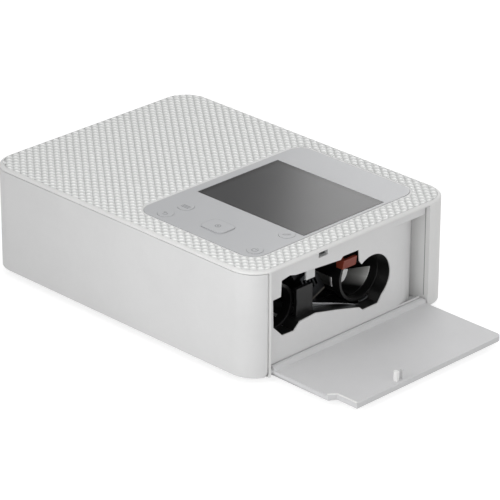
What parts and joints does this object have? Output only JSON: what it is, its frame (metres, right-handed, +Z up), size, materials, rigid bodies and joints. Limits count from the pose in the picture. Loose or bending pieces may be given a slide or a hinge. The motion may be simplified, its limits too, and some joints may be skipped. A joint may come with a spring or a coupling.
{
  "type": "compact photo printer",
  "caption": "Small flat desktop photo printer with rounded corners, a drop-down front cover, a hinged ink door at the side, and a top panel with a screen and keys.",
  "frame": {"origin": "on the table, under the centre of the body's outline with its covers shut", "axes": "+X across the front towards the ink door, +Y from the front cover to the back, +Z up"},
  "size_m": [0.2306, 0.133, 0.0576],
  "materials": {
    "white_shell": "fine matte texture, warm white",
    "white_inner": "satin, pale grey-white",
    "panel": "satin, pale grey",
    "key": "satin, pale grey",
    "black_plastic": "satin black",
    "screen": "gloss, dark grey",
    "steel": "plain zinc-plated",
    "alloy": "extruded, satin",
    "rubber": "matte black",
    "lever": "satin red-brown",
    "board": "green solder mask",
    "nylon": "satin, off-white",
    "ceramic": "plain white",
    "brass": "plain"
  },
  "bodies": {
    "printer": {"upper_housing": "white_shell", "base_tray": "white_inner", "rubber_feet": "rubber", "front_frame": "white_inner", "bay_wall": "white_inner", "bay_liner": "black_plastic", "spool_guide": "steel", "lever_spring": "steel", "door_switch": "nylon", "control_panel": "panel", "screen_window": "screen", "display_module": "black_plastic", "control_board": "board", "key_switches": "black_plastic", "left_side_plate": "steel", "right_side_plate": "steel", "front_crossbar": "steel", "rear_crossbar": "steel", "shaft_bushes": "nylon", "pinch_holders": "black_plastic", "idler_studs": "steel", "drive_motor": "steel", "motor_bracket": "steel", "pickup_shaft": "steel", "head_shaft": "steel", "head_springs": "steel", "paper_guide": "black_plastic", "paper_sensor": "black_plastic", "main_board": "board", "power_inlet": "black_plastic", "usb_c_port": "steel", "usb_a_port": "steel", "card_reader": "steel", "housing_screws": "steel", "chassis_screws": "steel"},
    "ink_door": {"ink_door": "white_shell"},
    "front_cover": {"front_cover": "white_shell"},
    "eject_lever": {"eject_lever": "lever"},
    "ok_pad": {"ok_pad": "key"},
    "back_key": {"back_key": "key"},
    "menu_key": {"menu_key": "key"},
    "edit_key": {"edit_key": "key"},
    "power_key": {"power_key": "key"},
    "print_head": {"head_bracket": "steel", "heat_sink": "alloy", "thermal_head": "ceramic"},
    "platen": {"platen_shaft": "steel", "platen_rubber": "rubber", "platen_gear": "nylon"},
    "capstan": {"capstan_shaft": "steel", "capstan_gear": "nylon"},
    "pinch_roller": {"pinch_roller": "rubber"},
    "small_idler": {"small_idler": "nylon"},
    "large_idler": {"large_idler": "nylon"},
    "takeup": {"takeup_spindle": "black_plastic", "takeup_gear": "nylon"},
    "supply": {"supply_spindle": "black_plastic"},
    "pinion": {"motor_pinion": "brass"},
    "pickup_arm": {"pickup_arm": "black_plastic"},
    "pickup_roller": {"pickup_roller": "rubber"}
  },
  "joints": [
    {"name": "ink_door_hinge", "type": "hinge", "parent": "printer", "child": "ink_door", "pos_m": [0.0892, -0.00245, 0.0049], "axis": [0, 1, 0], "range_deg": [-90, 0]},
    {"name": "front_cover_hinge", "type": "hinge", "parent": "printer", "child": "front_cover", "pos_m": [0, -0.0617, 0.0066], "axis": [1, 0, 0], "range_deg": [0, 90]},
    {"name": "eject_lever_slide", "type": "slide", "parent": "printer", "child": "eject_lever", "axis": [0, -1, 0], "range_m": [0, 0.0025], "stiffness_N_per_m": 300, "deforming": ["lever_spring"]},
    {"name": "ok_press", "type": "slide", "parent": "printer", "child": "ok_pad", "axis": [0, 0, -1], "range_m": [0, 0.0004], "stiffness_N_per_m": 900},
    {"name": "back_press", "type": "slide", "parent": "printer", "child": "back_key", "axis": [0, 0, -1], "range_m": [0, 0.0004], "stiffness_N_per_m": 900},
    {"name": "menu_press", "type": "slide", "parent": "printer", "child": "menu_key", "axis": [0, 0, -1], "range_m": [0, 0.0004], "stiffness_N_per_m": 900},
    {"name": "edit_press", "type": "slide", "parent": "printer", "child": "edit_key", "axis": [0, 0, -1], "range_m": [0, 0.0004], "stiffness_N_per_m": 900},
    {"name": "power_press", "type": "slide", "parent": "printer", "child": "power_key", "axis": [0, 0, -1], "range_m": [0, 0.0004], "stiffness_N_per_m": 900},
    {"name": "print_head_pivot", "type": "hinge", "parent": "printer", "child": "print_head", "pos_m": [0.02075, -0.026, 0.0481], "axis": [1, 0, 0], "range_deg": [-24, 0], "stiffness_Nm_per_rad": 0.05, "springref_deg": 20.05},
    {"name": "capstan_spin", "type": "hinge", "parent": "printer", "child": "capstan", "pos_m": [0.02075, -0.003, 0.0093], "axis": [1, 0, 0], "continuous": true},
    {"name": "platen_spin", "type": "hinge", "parent": "printer", "child": "platen", "pos_m": [0.02075, -0.014, 0.0099], "axis": [1, 0, 0], "continuous": true},
    {"name": "pinch_spin", "type": "hinge", "parent": "printer", "child": "pinch_roller", "pos_m": [0.02075, -0.003, 0.0149], "axis": [1, 0, 0], "continuous": true},
    {"name": "small_idler_spin", "type": "hinge", "parent": "printer", "child": "small_idler", "pos_m": [-0.0444, -0.00794, 0.01993], "axis": [1, 0, 0], "continuous": true},
    {"name": "large_idler_spin", "type": "hinge", "parent": "printer", "child": "large_idler", "pos_m": [-0.0444, -0.0226, 0.02915], "axis": [1, 0, 0], "continuous": true},
    {"name": "takeup_spin", "type": "hinge", "parent": "printer", "child": "takeup", "pos_m": [-0.04, -0.0415, 0.03], "axis": [1, 0, 0], "continuous": true},
    {"name": "pinion_spin", "type": "hinge", "parent": "printer", "child": "pinion", "pos_m": [-0.0444, 0.00074, 0.02721], "axis": [1, 0, 0], "continuous": true},
    {"name": "supply_spin", "type": "hinge", "parent": "printer", "child": "supply", "pos_m": [-0.038, 0.0142, 0.0283], "axis": [1, 0, 0], "continuous": true},
    {"name": "pickup_arm_pivot", "type": "hinge", "parent": "printer", "child": "pickup_arm", "pos_m": [0.02075, -0.042, 0.0163], "axis": [1, 0, 0], "range_deg": [0, 6]},
    {"name": "pickup_roller_spin", "type": "hinge", "parent": "pickup_arm", "child": "pickup_roller", "pos_m": [0.02075, -0.0292, 0.0152], "axis": [1, 0, 0], "continuous": true}
  ],
  "couplings": [
    {"joint": "platen_spin", "follows": "capstan_spin", "ratio": 1},
    {"joint": "pinch_spin", "follows": "capstan_spin", "ratio": -1.5238},
    {"joint": "small_idler_spin", "follows": "capstan_spin", "ratio": -0.61111},
    {"joint": "large_idler_spin", "follows": "capstan_spin", "ratio": 0.44},
    {"joint": "takeup_spin", "follows": "capstan_spin", "ratio": -0.5},
    {"joint": "pinion_spin", "follows": "capstan_spin", "ratio": 1.1}
  ]
}
